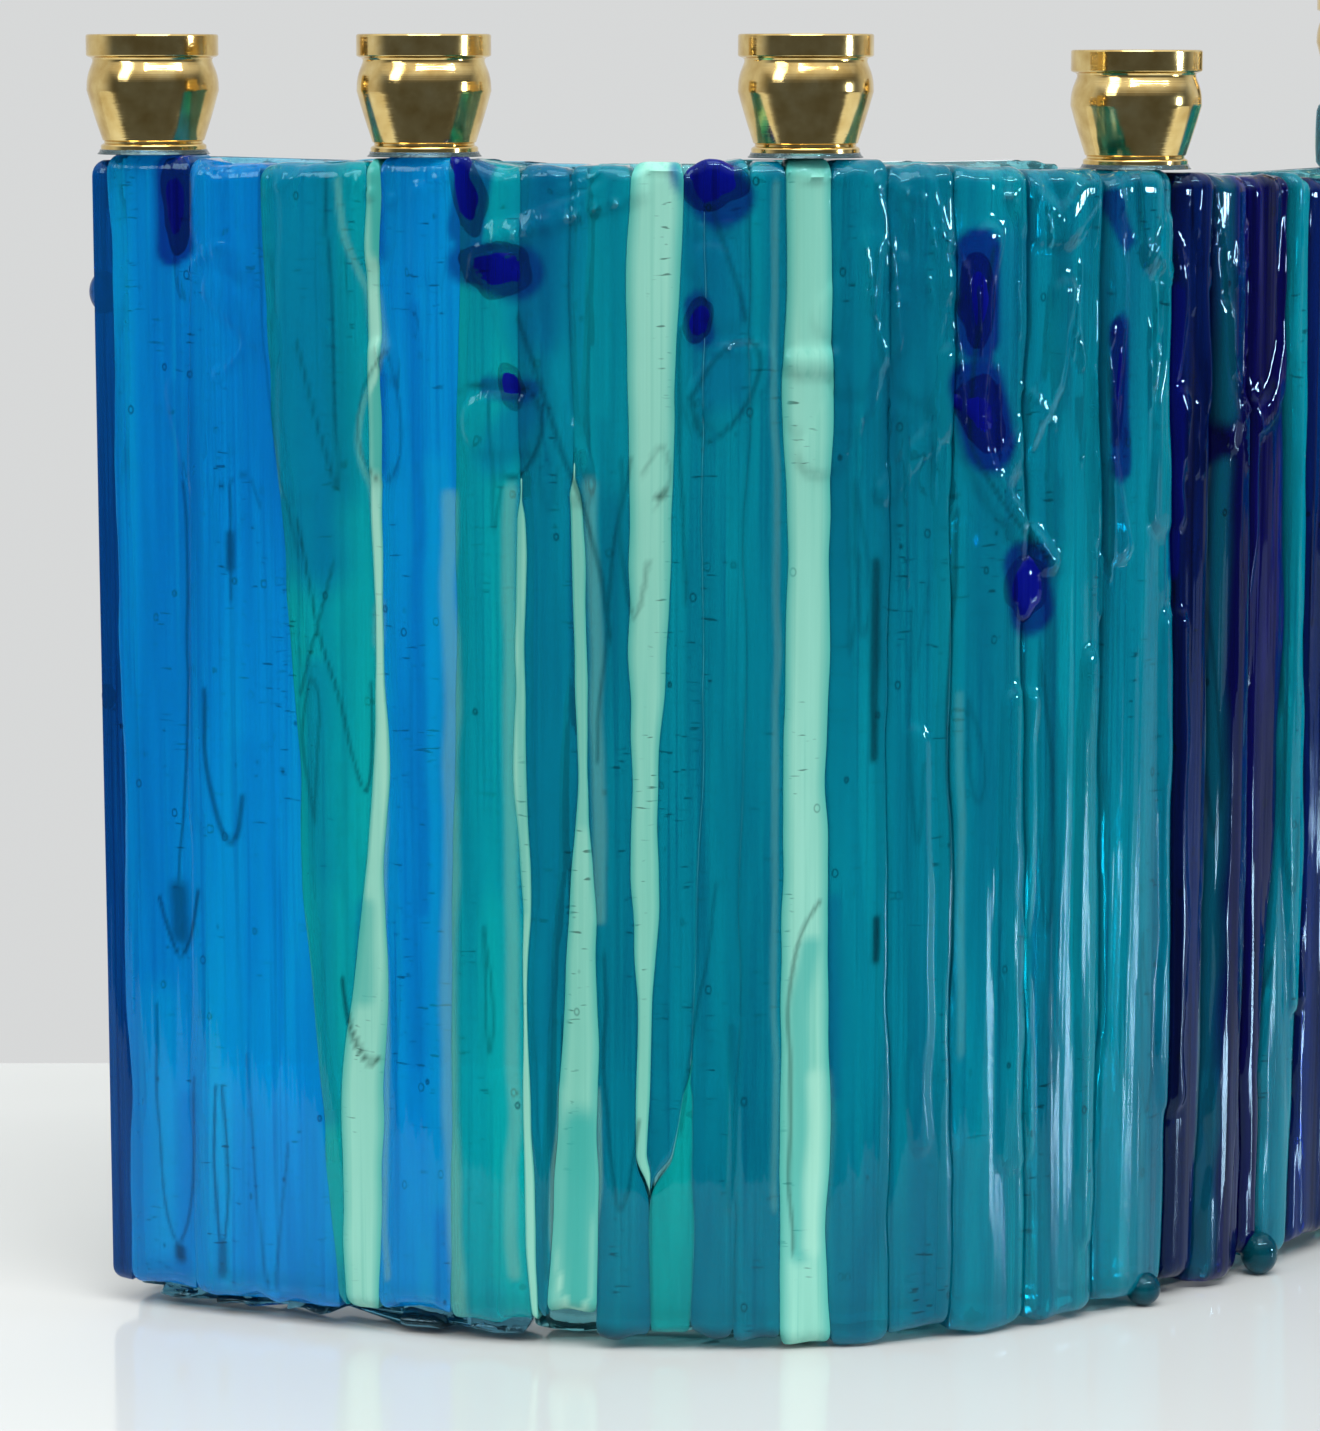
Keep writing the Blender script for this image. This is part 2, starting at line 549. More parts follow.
def fan_faces(rings, count, start=0):
    """Triangles from the first and last ring to the two points that follow the rings."""
    faces = []
    base, lid = start + rings * count, start + rings * count + 1
    last = start + (rings - 1) * count
    for i in range(count):
        j = (i + 1) % count
        faces.append((base, start + j, start + i))
        faces.append((lid, last + i, last + j))
    return faces


SOFTNESS = {"ink": 0.35, "pale": 0.3, "light": 0.5, "shade": 0.35, "cobalt": 0.1}


def glass_strip(name, shape, faces, crown, corner, columns_mm, marks, seed):
    """A closed glass body between two sides.

    crown is how far its face swells, corner how deep its edges round and columns_mm the
    spacing of its outer and inner points. marks holds the cords and ridges on its face and
    the lines, lights and shades inside it.
    """
    foot, top, left_line, right_line = shape
    outer, inner = faces
    out = 1.0 if outer > inner else -1.0
    wide = float((right_line - left_line).mean())
    rounding = min(2.4, 0.55 * wide + 0.5)
    z = strip_heights(foot, top, rounding)
    left = np.interp(z, PROFILE_Z, left_line)
    right = np.interp(z, PROFILE_Z, right_line)
    inset = end_inset(z, foot, top, rounding)
    draw = np.minimum(inset, 0.32 * (right - left))
    left, right = left + SIDE_GAP + draw, right - SIDE_GAP - draw

    columns = max(7, int(wide / columns_mm[0]))
    share = np.linspace(0, 1, columns)
    share = 0.65 * share + 0.35 * (0.5 - 0.5 * np.cos(np.pi * share))
    s = left[:, None] + (right - left)[:, None] * share[None, :]
    back_count = max(2, int(wide / columns_mm[1]))
    back_share = np.linspace(1, 0, back_count)
    back_s = left[:, None] + (right - left)[:, None] * back_share[None, :]

    def lifted(stations):
        """Heights of the rings' points, with an uneven foot, and an uneven top away from the cups."""
        raised = FOOT_SWING * (0.5 + 0.5 * noise(stations / 3.2, 0.3, seed + 7))
        lowered = TOP_SWING * (0.5 + 0.5 * noise(stations / 2.6, 0.7, seed + 8))
        for station in STANDING:
            lowered = lowered * smooth_step(np.abs(stations - station), 8.5, 11.5)
        low_share, high_share = 1 - smooth_step(z, foot, foot + 12), smooth_step(z, top - 6, top)
        return z[:, None] + raised * low_share[:, None] - lowered * high_share[:, None]

    zz = lifted(s)
    edge = np.minimum(share, 1 - share)[None, :] * (right - left)[:, None]
    reach = np.minimum(EDGE_ROUND, 0.45 * (right - left))[:, None]
    past = np.clip(1 - edge / reach, 0, 1)
    dip = corner * (1 - np.sqrt(1 - past**2))
    swell = crown * np.sin(np.pi * share)[None, :] ** 0.8
    body = relief(s, zz, marks["cords"], seed) * (1 - 0.6 * past * corner)
    body = body + ridged(s, zz, marks["ridges"])
    face = abs(outer) + body + swell - dip - (END_DEPTH * inset)[:, None]
    front = on_wall(s, out * face, zz)
    back_z = lifted(back_s)
    toe = toes(back_s, back_z) * (out < 0)
    back = on_wall(back_s, inner + out * 0.4 * inset[:, None] + TOE_AHEAD * toe, back_z)

    ring = np.concatenate([front, back], axis=1)
    rings, count = ring.shape[:2]
    ends = [ring[0].mean(axis=0), ring[-1].mean(axis=0)]
    points = np.concatenate([ring.reshape(-1, 3), ends])
    polygons = ring_faces(rings, count) + fan_faces(rings, count)
    if out < 0:
        polygons = [tuple(reversed(face)) for face in polygons]
    attributes = {}
    for key, softness in SOFTNESS.items():
        behind = np.zeros_like(back_s)
        if key == "ink" and out < 0:
            behind = np.maximum(smooth_step(toe, 0.1, 0.5) * 0.94, 0.7 * (1 - smooth_step(back_z, 4, 7)))
        values = np.concatenate([painted(s, zz, marks[key], softness), behind], axis=1).ravel()
        attributes[key] = np.concatenate([values, [0.0, 0.0]])
    across = np.tile(np.concatenate([share, back_share]), rings)
    attributes["across"] = np.concatenate([across, [0.5, 0.5]])
    piece = mesh_object(name, points, polygons, attributes)
    piece.data.set_sharp_from_angle(angle=math.radians(60))
    return piece


# ---------------- materials


class Shader:
    """The node tree of a material or a world, with short calls to add nodes and links."""

    def __init__(self, owner, output="ShaderNodeOutputMaterial"):
        owner.use_nodes = True
        self.owner, self.tree = owner, owner.node_tree
        self.tree.nodes.clear()
        self.output = self.add(output)
        self.place = self.add("ShaderNodeTexCoord").outputs

    def add(self, kind, **settings):
        node = self.tree.nodes.new(kind)
        for key, value in settings.items():
            setattr(node, key, value)
        return node

    def feed(self, socket, value):
        if isinstance(value, bpy.types.NodeSocket):
            self.tree.links.new(value, socket)
        else:
            socket.default_value = value

    def math(self, operation, a, b=0.0, c=0.0, clamp=False):
        node = self.add("ShaderNodeMath", operation=operation, use_clamp=clamp)
        for socket, value in zip(node.inputs, (a, b, c)):
            self.feed(socket, value)
        return node.outputs[0]

    def stretched(self, across, up):
        """Object coordinates whose unit is across millimetres sideways and up millimetres upright."""
        node = self.add("ShaderNodeMapping")
        self.feed(node.inputs["Vector"], self.place["Object"])
        node.inputs["Scale"].default_value = (1 / (across * MM), 1 / (across * MM), 1 / (up * MM))
        return node.outputs[0]

    def noise(self, across, up, detail=2.0, roughness=0.5, distortion=0.0):
        node = self.add("ShaderNodeTexNoise")
        self.feed(node.inputs["Vector"], self.stretched(across, up))
        node.inputs["Scale"].default_value = 1.0
        node.inputs["Detail"].default_value = detail
        node.inputs["Roughness"].default_value = roughness
        node.inputs["Distortion"].default_value = distortion
        return node.outputs["Fac"]

    def ramp(self, value, stops):
        node = self.add("ShaderNodeValToRGB")
        self.feed(node.inputs["Fac"], value)
        elements = node.color_ramp.elements
        while len(elements) < len(stops):
            elements.new(0.5)
        for element, (position, colour) in zip(elements, stops):
            element.position = position
            element.color = (*colour, 1.0)
        return node.outputs["Color"]

    def window(self, value, low, high, kind="LINEAR"):
        """value rescaled so that low gives 0 and high gives 1, clamped."""
        node = self.add("ShaderNodeMapRange", clamp=True, interpolation_type=kind)
        self.feed(node.inputs["Value"], value)
        node.inputs["From Min"].default_value = low
        node.inputs["From Max"].default_value = high
        return node.outputs["Result"]

    def mask(self, value, low, high, strength):
        """A window whose high end is strength."""
        return self.math("MULTIPLY", self.window(value, low, high), strength)

    def blend(self, share, a, b, kind="MIX"):
        node = self.add("ShaderNodeMix", data_type="RGBA", blend_type=kind)
        self.feed(node.inputs["Factor"], share)
        self.feed(node.inputs["A"], (*a, 1.0) if isinstance(a, tuple) else a)
        self.feed(node.inputs["B"], (*b, 1.0) if isinstance(b, tuple) else b)
        return node.outputs["Result"]

    def attribute(self, name):
        return self.add("ShaderNodeAttribute", attribute_name=name).outputs["Fac"]

    def bump(self, height, distance, strength=1.0, normal=None):
        node = self.add("ShaderNodeBump")
        node.inputs["Strength"].default_value = strength
        node.inputs["Distance"].default_value = distance * MM
        self.feed(node.inputs["Height"], height)
        if normal is not None:
            self.feed(node.inputs["Normal"], normal)
        return node.outputs["Normal"]


COBALT_RUN = (0.002, 0.004, 0.26)
MILK = (0.42, 0.8, 0.64)
GLASS_ROUGHNESS = 0.02
BUBBLE_SIZE = 0.06  # in cells
GLINT_TINT = (0.42, 0.7, 0.86, 1.0)


def glass(name, dark, main, light, show, clear, rim=0.0, bubbles=0.8, soft_sides=False):
    """Streaky coloured glass.

    show is the colour that the shades let through, clear is how much light passes, rim is how
    strong the strip's sides are and bubbles is how dark the bubbles' outlines are. Soft sides
    fade to the colour that shows through.
    """
    shader = Shader(bpy.data.materials.new(name))
    wisps = shader.noise(7, 95, detail=3.0, roughness=0.55, distortion=0.3)
    colour = shader.ramp(wisps, [(0.28, dark), (0.5, main), (0.74, light)])

    threads = shader.noise(0.8, 75, detail=2.0)
    colour = shader.blend(shader.mask(threads, 0.54, 0.72, 0.85), colour, dark)
    gleams = shader.noise(1.1, 90, detail=2.0)
    colour = shader.blend(shader.mask(gleams, 0.6, 0.78, 0.45), colour, light)
    ticks = shader.window(shader.noise(2.6, 0.55, detail=1.0), 0.67, 0.73)
    ticked = shader.mask(shader.noise(5, 30, detail=0.0), 0.56, 0.64, 0.7)
    ink = tuple(channel * 0.1 for channel in dark)
    colour = shader.blend(shader.math("MULTIPLY", ticks, ticked), colour, ink)

    colour = shader.blend(shader.attribute("light"), colour, light)
    colour = shader.blend(shader.attribute("shade"), colour, show)
    pale = tuple(0.35 * channel + 0.65 * milk for channel, milk in zip(light, MILK))
    colour = shader.blend(shader.attribute("pale"), colour, pale)
    colour = shader.blend(shader.attribute("cobalt"), colour, COBALT_RUN)

    cells = shader.add("ShaderNodeTexVoronoi", feature="F1")
    shader.feed(cells.inputs["Vector"], shader.stretched(6.5, 9))
    cells.inputs["Scale"].default_value = 1.0
    cells.inputs["Randomness"].default_value = 1.0
    from_ring = shader.math("ABSOLUTE", shader.math("SUBTRACT", cells.outputs["Distance"], BUBBLE_SIZE))
    ring = shader.math("SUBTRACT", 1.0, shader.math("MULTIPLY", from_ring, 42.0), clamp=True)
    colour = shader.blend(shader.math("MULTIPLY", ring, bubbles), colour, ink)

    sides = shader.math("ABSOLUTE", shader.math("SUBTRACT", shader.attribute("across"), 0.5))
    near_side = shader.mask(sides, 0.26 if soft_sides else 0.42, 0.5, rim)
    colour = shader.blend(near_side, colour, show if soft_sides else ink)
    colour = shader.blend(shader.attribute("ink"), colour, ink)

    surface = shader.add("ShaderNodeBsdfPrincipled")
    shader.feed(surface.inputs["Base Color"], colour)
    surface.inputs["Transmission Weight"].default_value = clear
    surface.inputs["IOR"].default_value = 1.5
    surface.inputs["Specular IOR Level"].default_value = 0.24
    surface.inputs["Specular Tint"].default_value = GLINT_TINT
    patchy = shader.math("MULTIPLY_ADD", shader.noise(4, 12), 0.03, GLASS_ROUGHNESS)
    shader.feed(surface.inputs["Roughness"], patchy)
    grain = shader.math("ADD", shader.noise(0.9, 40, detail=1.0), shader.noise(3.5, 16, detail=1.0))
    shader.feed(surface.inputs["Normal"], shader.bump(grain, 0.085))
    shader.feed(shader.output.inputs["Surface"], surface.outputs["BSDF"])
    return shader.owner


def brass():
    shader = Shader(bpy.data.materials.new("polished_brass"))
    tone = shader.noise(3, 3, detail=3.0)
    stops = [(0.3, (0.62, 0.42, 0.14)), (0.6, (0.8, 0.6, 0.25)), (0.8, (0.88, 0.7, 0.34))]
    colour = shader.ramp(tone, stops)
    turned = shader.noise(60, 0.16, detail=2.0)
    smudge = shader.noise(2.5, 2.5, detail=3.0)
    surface = shader.add("ShaderNodeBsdfPrincipled")
    shader.feed(surface.inputs["Base Color"], colour)
    surface.inputs["Metallic"].default_value = 1.0
    shader.feed(surface.inputs["Roughness"], shader.math("MULTIPLY_ADD", smudge, 0.14, 0.05))
    shader.feed(surface.inputs["Normal"], shader.bump(turned, 0.012))
    shader.feed(shader.output.inputs["Surface"], surface.outputs["BSDF"])
    return shader.owner


SEA_SHOW = (0.004, 0.38, 0.4)
TEAL_SHOW = (0.002, 0.22, 0.38)
DEEP_TEAL = (0.001, 0.16, 0.24)
MINT_SIDES = {"rim": 0.85, "bubbles": 0.5, "soft_sides": True}

# Each glass: its dark, main and light tones, the colour that shows through, how clear, the rest
TONES = {
    "azure_glass": ((0.001, 0.27, 0.74), (0.001, 0.45, 1.0), (0.003, 0.62, 1.0), (0.001, 0.22, 0.7), 0.72, {}),
    "sea_green_glass": (
        (0.001, 0.38, 0.48), (0.002, 0.57, 0.63), (0.006, 0.8, 0.68), (0.001, 0.28, 0.56), 0.7, {"rim": 0.12}
    ),
    "teal_glass": (
        (0.001, 0.21, 0.36), (0.001, 0.36, 0.5), (0.003, 0.56, 0.66), (0.002, 0.19, 0.44), 0.7, {"rim": 0.22}
    ),
    "turquoise_glass": (
        (0.002, 0.4, 0.44), (0.004, 0.62, 0.6), (0.02, 0.78, 0.7), TEAL_SHOW, 0.7, {"rim": 0.3}
    ),
    "mint_glass": (
        (0.22, 0.62, 0.5), (0.29, 0.69, 0.56), (0.36, 0.77, 0.63), (0.05, 0.45, 0.4), 0.14, MINT_SIDES
    ),
    "end_glass": ((0.001, 0.04, 0.22), (0.001, 0.1, 0.4), (0.002, 0.17, 0.58), (0.0, 0.02, 0.2), 0.66, {}),
    "navy_glass": ((0.001, 0.002, 0.04), (0.001, 0.008, 0.11), (0.002, 0.03, 0.26), DEEP_TEAL, 0.62, {}),
    "indigo_glass": ((0.001, 0.001, 0.04), (0.003, 0.001, 0.11), (0.01, 0.006, 0.28), DEEP_TEAL, 0.62, {}),
    "cobalt_glass": ((0.001, 0.002, 0.14), (0.002, 0.006, 0.36), (0.01, 0.02, 0.5), (0, 0, 0.1), 0.55, {}),
    "back_blue_glass": ((0.14, 0.55, 0.8), (0.22, 0.68, 0.9), (0.36, 0.8, 0.96), SEA_SHOW, 0.88, {}),
    "back_green_glass": ((0.14, 0.58, 0.66), (0.22, 0.7, 0.78), (0.36, 0.82, 0.86), TEAL_SHOW, 0.88, {}),
    "dark_drop_glass": ((0.001, 0.05, 0.09), (0.001, 0.09, 0.13), (0.002, 0.16, 0.2), TEAL_SHOW, 0.55, {}),
    "riser_glass": ((0.06, 0.42, 0.54), (0.1, 0.55, 0.66), (0.25, 0.72, 0.78), SEA_SHOW, 0.92, {}),
    "clear_glue": ((0.3, 0.55, 0.6), (0.4, 0.64, 0.68), (0.5, 0.72, 0.74), SEA_SHOW, 0.95, {"bubbles": 0}),
}
GLASS = {name: glass(name, *tones, **rest) for name, (*tones, rest) in TONES.items()}
BRASS = brass()


def finish_piece(piece, material, *nodes):
    """Gives a piece its material and the CAD nodes that it stands for."""
    piece.data.materials.append(material)
    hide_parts(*nodes)
    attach(piece, "root")


# ---------------- the wall

FRONT_NODES = [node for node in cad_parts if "_strip" in node and not node.startswith("back")]
BACK_NODES = [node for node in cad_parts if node.startswith("back_strip")]
FRONT_MARKS = {
    "cords": FRONT_CORDS,
    "ridges": FRONT_RIDGES,
    "ink": FRONT_LINES,
    "pale": FRONT_PALE,
    "light": LIGHTS,
    "shade": SHADES,
    "cobalt": COBALT_RUNS,
}
BACK_MARKS = dict.fromkeys(FRONT_MARKS, []) | {"cords": BACK_CORDS, "ink": BACK_LINES}
FRONT_SEED, BACK_SEED = 100, 200
BLUE_BACK = ("back_strip_1", "back_strip_6")


def rod_shape(s):
    """How much a strip stands out as a rod: hardly in the flat left part, fully from 150 on."""
    return 0.08 + 0.92 * float(smooth_step(s, 84, 150))


for node, shape in sorted(shared_sides(FRONT_NODES, FRONT_LAYER_BACK, 40).items()):
    rod = rod_shape(float(shape[2].mean()))
    wide = float((shape[3] - shape[2]).mean())
    crown = min(0.9, 0.08 * wide) * rod
    faces = (FRONT_FACE, FRONT_LAYER_BACK)
    looks = (crown, 0.95 * rod, FRONT_COLUMNS, FRONT_MARKS, FRONT_SEED)
    piece = glass_strip(node + "_glass", shape, faces, *looks)
    finish_piece(piece, GLASS[node.split("_strip")[0] + "_glass"], node)

for node, shape in sorted(shared_sides(BACK_NODES, BACK_LAYER_FRONT, 90).items()):
    faces = (BACK_FACE, BACK_LAYER_FRONT)
    piece = glass_strip(node + "_glass", shape, faces, 0.3, 0.8, BACK_COLUMNS, BACK_MARKS, BACK_SEED)
    finish_piece(piece, GLASS["back_blue_glass" if node in BLUE_BACK else "back_green_glass"], node)


# ---------------- chips, beads and the riser


def melted_chip(at_s, at_z, length, width, lean, seed):
    """A closed chip with an uneven outline, sunk into the wall's front, as points and faces."""
    segments, rings = 48, 9
    angles = np.linspace(0, 2 * np.pi, segments, endpoint=False)
    blocky = (np.abs(np.cos(angles)) ** 2.3 + np.abs(np.sin(angles)) ** 2.3) ** (-1 / 2.3)
    uneven = 1 + 0.24 * noise(2.2 + 1.6 * np.cos(angles), 2.2 + 1.6 * np.sin(angles), seed)
    across = blocky * uneven * np.cos(angles) * width / 2
    along = blocky * uneven * np.sin(angles) * length / 2
    turn = math.radians(lean)
    points = []
    for ring in range(rings):
        rise = ring / (rings - 1)
        size = max(0.04, math.cos(rise * math.pi / 2) ** 0.6)
        s = at_s + size * (across * math.cos(turn) + along * math.sin(turn))
        z = at_z + size * (along * math.cos(turn) - across * math.sin(turn))
        z = np.minimum(z, CHIP_TOP)
        base = FRONT_FACE + relief(s, z, FRONT_CORDS, FRONT_SEED)
        stand = CHIP_STAND[0] + CHIP_STAND[1] * rod_shape(at_s)
        ahead = base - CHIP_SINK + (CHIP_SINK + stand) * math.sin(rise * math.pi / 2)
        points.append(on_wall(s, ahead, z))
    points = np.array(points)
    ends = [points[0].mean(axis=0), points[-1].mean(axis=0)]
    faces = ring_faces(rings, segments) + fan_faces(rings, segments)
    return np.concatenate([points.reshape(-1, 3), ends]), faces


def joined(parts):
    """Several closed bodies as one list of points and faces."""
    points, faces = [], []
    for part_points, part_faces in parts:
        start = sum(len(block) for block in points)
        points.append(part_points)
        faces += [tuple(start + corner for corner in face) for face in part_faces]
    return np.concatenate(points), faces


CHIP_SINK, CHIP_TOP = 1.0, 161.4
CHIP_STAND = (0.08, 0.65)  # on the flat part, and more on the rods
# station along the wave, height, length, width and lean of each chip, close to the CAD's
CHIPS = (
    (12.7, 154.5, 14.0, 4.6, 0.0),
    (54.8, 156.3, 10.5, 4.4, -14.0),
    (58.6, 147.0, 9.6, 7.4, 70.0),
    (60.4, 131.3, 3.5, 6.0, 75.0),
    (86.0, 158.0, 7.0, 8.2, 0.0),
    (84.3, 140.0, 6.0, 3.4, 8.0),
    (119.4, 143.0, 13.6, 4.8, 0.0),
    (120.2, 127.0, 11.0, 7.0, -15.0),
    (127.2, 103.0, 8.5, 6.4, 0.0),
    (141.2, 130.0, 17.0, 2.8, 0.0),
    (262.0, 150.0, 14.0, 5.5, 15.0),
    (318.0, 139.0, 12.0, 5.0, -12.0),
    (371.0, 153.0, 11.0, 4.5, 8.0),
)

chips = joined([melted_chip(*row, 300 + number) for number, row in enumerate(CHIPS)])
finish_piece(mesh_object("cobalt_chips_glass", *chips), GLASS["cobalt_glass"], "cobalt_chips")


# ---------------- the brass cups


def smooth_outline(points, steps=4):
    """A finer outline through (radius, height) points, on a Catmull-Rom curve."""
    points = np.asarray(points, float)
    padded = np.vstack([2 * points[0] - points[1], points, 2 * points[-1] - points[-2]])
    fine = []
    for i in range(1, len(padded) - 2):
        p0, p1, p2, p3 = padded[i - 1 : i + 3]
        for t in np.arange(steps) / steps:
            bend = (2 * p0 - 5 * p1 + 4 * p2 - p3) * t**2 + (3 * p1 - p0 - 3 * p2 + p3) * t**3
            fine.append(0.5 * (2 * p1 + (p2 - p0) * t + bend))
    fine.append(points[-1])
    return np.array(fine)


def cup_outline():
    """The cup's outline from the middle of its base, out and up, over the rim and down the bore."""
    ring = [(0.0, 0.0), (6.6, 0.0), (7.05, 0.08), (7.2, 0.25), (7.2, 0.95), (7.08, 1.12)]
    step = [(6.75, 1.3), (6.72, 1.55)]
    cone = smooth_outline([(6.95, 1.75), (7.65, 3.9), (8.35, 6.2), (8.88, 8.1)])
    crease = [(8.98, 8.45), (9.0, 8.6)]
    shoulder = smooth_outline([(8.99, 8.8), (8.93, 9.9), (8.7, 11.0), (8.32, 12.0), (8.16, 12.45)])
    neck = [(8.15, 12.75), (8.3, 12.98), (8.7, 13.12), (8.88, 13.2)]
    rim = [(9.0, 13.35), (9.0, 15.95), (8.9, 16.12), (8.72, 16.2)]
    mouth = [(5.75, 16.2), (5.45, 16.1), (5.27, 15.85), (5.25, 15.6)]
    bore = [(5.25, 12.0), (5.25, 8.0), (5.25, 4.1), (5.1, 3.78), (4.8, 3.7), (0.0, 3.7)]
    outline = np.vstack([ring, step, cone, crease, shoulder, neck, rim, mouth, bore])
    return outline * [1.0, CUP_HEIGHT / outline[:, 1].max()]


def lathe(outline, segments=96):
    """A closed body of revolution through (radius, height) points that start and end on Z."""
    angles = np.linspace(0, 2 * np.pi, segments, endpoint=False)
    radius, height = outline[1:-1, 0], outline[1:-1, 1]
    ring = np.stack(
        [
            radius[:, None] * np.cos(angles),
            radius[:, None] * np.sin(angles),
            np.broadcast_to(height[:, None], (len(radius), segments)),
        ],
        axis=-1,
    )
    ends = [(0, 0, outline[0, 1]), (0, 0, outline[-1, 1])]
    points = np.concatenate([ring.reshape(-1, 3), ends])
    return points, ring_faces(len(radius), segments) + fan_faces(len(radius), segments)


def box_mm(node):
    low, high = (np.array(corner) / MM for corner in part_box(node))
    return low, high


CUP_NODES = sorted(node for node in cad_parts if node.startswith(("shamash_cup", "candle_cup")))
CUP_HEIGHT, GLUE_THICKNESS = 16.0, 0.2
# The outline of the glue around a cup's foot
SKIRT = [(0, 0), (7.7, 0), (7.66, 0.1), (7.5, 0.22), (7.38, 0.42), (7.3, 0.66)]
SKIRT += [(7.24, 0.6), (7.24, 0.2), (0, 0.2)]

skirts = []
for node in CUP_NODES:
    low, high = box_mm(node)
    foot = np.array([(low[0] + high[0]) / 2, (low[1] + high[1]) / 2, low[2]])
    points, faces = lathe(cup_outline())
    piece = mesh_object(node + "_brass", points + foot, faces)
    piece.data.set_sharp_from_angle(angle=math.radians(28))
    finish_piece(piece, BRASS, node)
    points, faces = lathe(np.array(SKIRT), segments=64)
    skirts.append((points + foot - [0, 0, GLUE_THICKNESS], faces))
finish_piece(mesh_object("cup_glue_skirts", *joined(skirts)), GLASS["clear_glue"], "cup_glue")


RISER_HALF = (7.9, 6.9)  # half its length and depth


def riser_block():
    """The rounded block of glass under the shamash cup."""
    low, high = box_mm("shamash_riser")
    segments = 72
    angles = np.linspace(0, 2 * np.pi, segments, endpoint=False)
    blocky = (np.abs(np.cos(angles)) ** 5 + np.abs(np.sin(angles)) ** 5) ** (-1 / 5)
    turn = float(heading(WALL_LENGTH / 2))
    rows = []
    tall = high[2] - low[2]
    for share in (0.0, 0.03, 0.1, 0.3, 0.5, 0.7, 0.86, 0.94, 0.98, 1.0):
        end = min(share, 1 - share)
        size = 1 - 0.09 * (1 - min(1.0, end / 0.12)) ** 2 + 0.02 * math.sin(share * math.pi)
        x = size * blocky * np.cos(angles) * RISER_HALF[0]
        y = size * blocky * np.sin(angles) * RISER_HALF[1]
        turned = (x * np.cos(turn) - y * np.sin(turn), x * np.sin(turn) + y * np.cos(turn))
        rows.append(np.stack([*turned, x * 0 + low[2] + share * tall], axis=-1))
    rows = np.array(rows)
    points = np.concatenate([rows.reshape(-1, 3), [rows[0].mean(axis=0), rows[-1].mean(axis=0)]])
    return points, ring_faces(len(rows), segments) + fan_faces(len(rows), segments)


finish_piece(mesh_object("shamash_riser_glass", *riser_block()), GLASS["riser_glass"], "shamash_riser")

# station along the wave, distance in front of the wall's middle, height, radius and half height
BEADS = (
    (0.2, 3.6, 142.5, 2.4, 3.0),
    (0.1, 4.2, 86.5, 1.3, 1.8),
    (148.6, 6.6, 2.4, 2.5, 2.4),
    (172.5, 7.6, 3.1, 2.7, 3.1),
    (187.6, 6.3, 99.0, 2.2, 4.6),
    (243.0, 6.8, 3.0, 2.4, 2.9),
    (301.5, 6.4, 122.0, 2.3, 3.2),
    (419.0, 3.2, 118.0, 2.0, 2.8),
)


def bead(s, ahead, z, radius, half_height):
    turns = np.linspace(-np.pi / 2, np.pi / 2, 25)
    outline = np.stack([radius * np.cos(turns), half_height * np.sin(turns)], axis=-1)
    outline[0, 0] = outline[-1, 0] = 0.0
    points, faces = lathe(outline, segments=40)
    return points + on_wall(s, ahead, z), faces


BLUE_BEADS = 2  # the first beads, on the blue end strip
bead_parts = [bead(*row) for row in BEADS]
piece = mesh_object("glass_beads_glass", *joined(bead_parts))
finish_piece(piece, GLASS["dark_drop_glass"], "glass_beads")
piece.data.materials.append(GLASS["end_glass"])
blue_faces = sum(len(faces) for _, faces in bead_parts[:BLUE_BEADS])
for polygon in piece.data.polygons[:blue_faces]:
    polygon.material_index = 1

# ---------------- stage, lights and camera

AIM_AZIMUTH = math.radians(13.4)  # the camera looks along +Y turned this far towards +X
CAMERA_BACK, CAMERA_SIDE = 0.672, 0.1052  # from the wave's middle, along and across the camera's aim
CAMERA_HEIGHT = 0.176
CAMERA_TILT = math.radians(8.4)
LENS, SENSOR = 114.2, 36.0
AHEAD = Vector((math.sin(AIM_AZIMUTH), math.cos(AIM_AZIMUTH), 0))
RIGHT = Vector((math.cos(AIM_AZIMUTH), -math.sin(AIM_AZIMUTH), 0))


def add_camera():
    data = bpy.data.cameras.new("camera")
    data.lens, data.sensor_width = LENS, SENSOR
    data.clip_start = 0.05
    camera = bpy.data.objects.new("camera", data)
    bpy.context.scene.collection.objects.link(camera)
    camera.location = -CAMERA_BACK * AHEAD - CAMERA_SIDE * RIGHT + Vector((0, 0, CAMERA_HEIGHT))
    camera.rotation_euler = (math.pi / 2 - CAMERA_TILT, 0, -AIM_AZIMUTH)
    bpy.context.scene.camera = camera


def area_light(name, place, aim, size, power, colour=(1, 1, 1)):
    data = bpy.data.lights.new(name, "AREA")
    data.shape = "RECTANGLE"
    data.size, data.size_y = size
    data.energy = power
    data.color = colour
    lamp = bpy.data.objects.new(name, data)
    lamp.location = place
    lamp.rotation_euler = (Vector(aim) - Vector(place)).to_track_quat("-Z", "Y").to_euler()
    bpy.context.scene.collection.objects.link(lamp)


TABLE_BACK, TABLE_FRONT, TABLE_SIDE = 0.104, -0.16, 0.9  # edges along and across the camera's aim
TABLE_CORNER, TABLE_THICKNESS = 0.05, 0.02


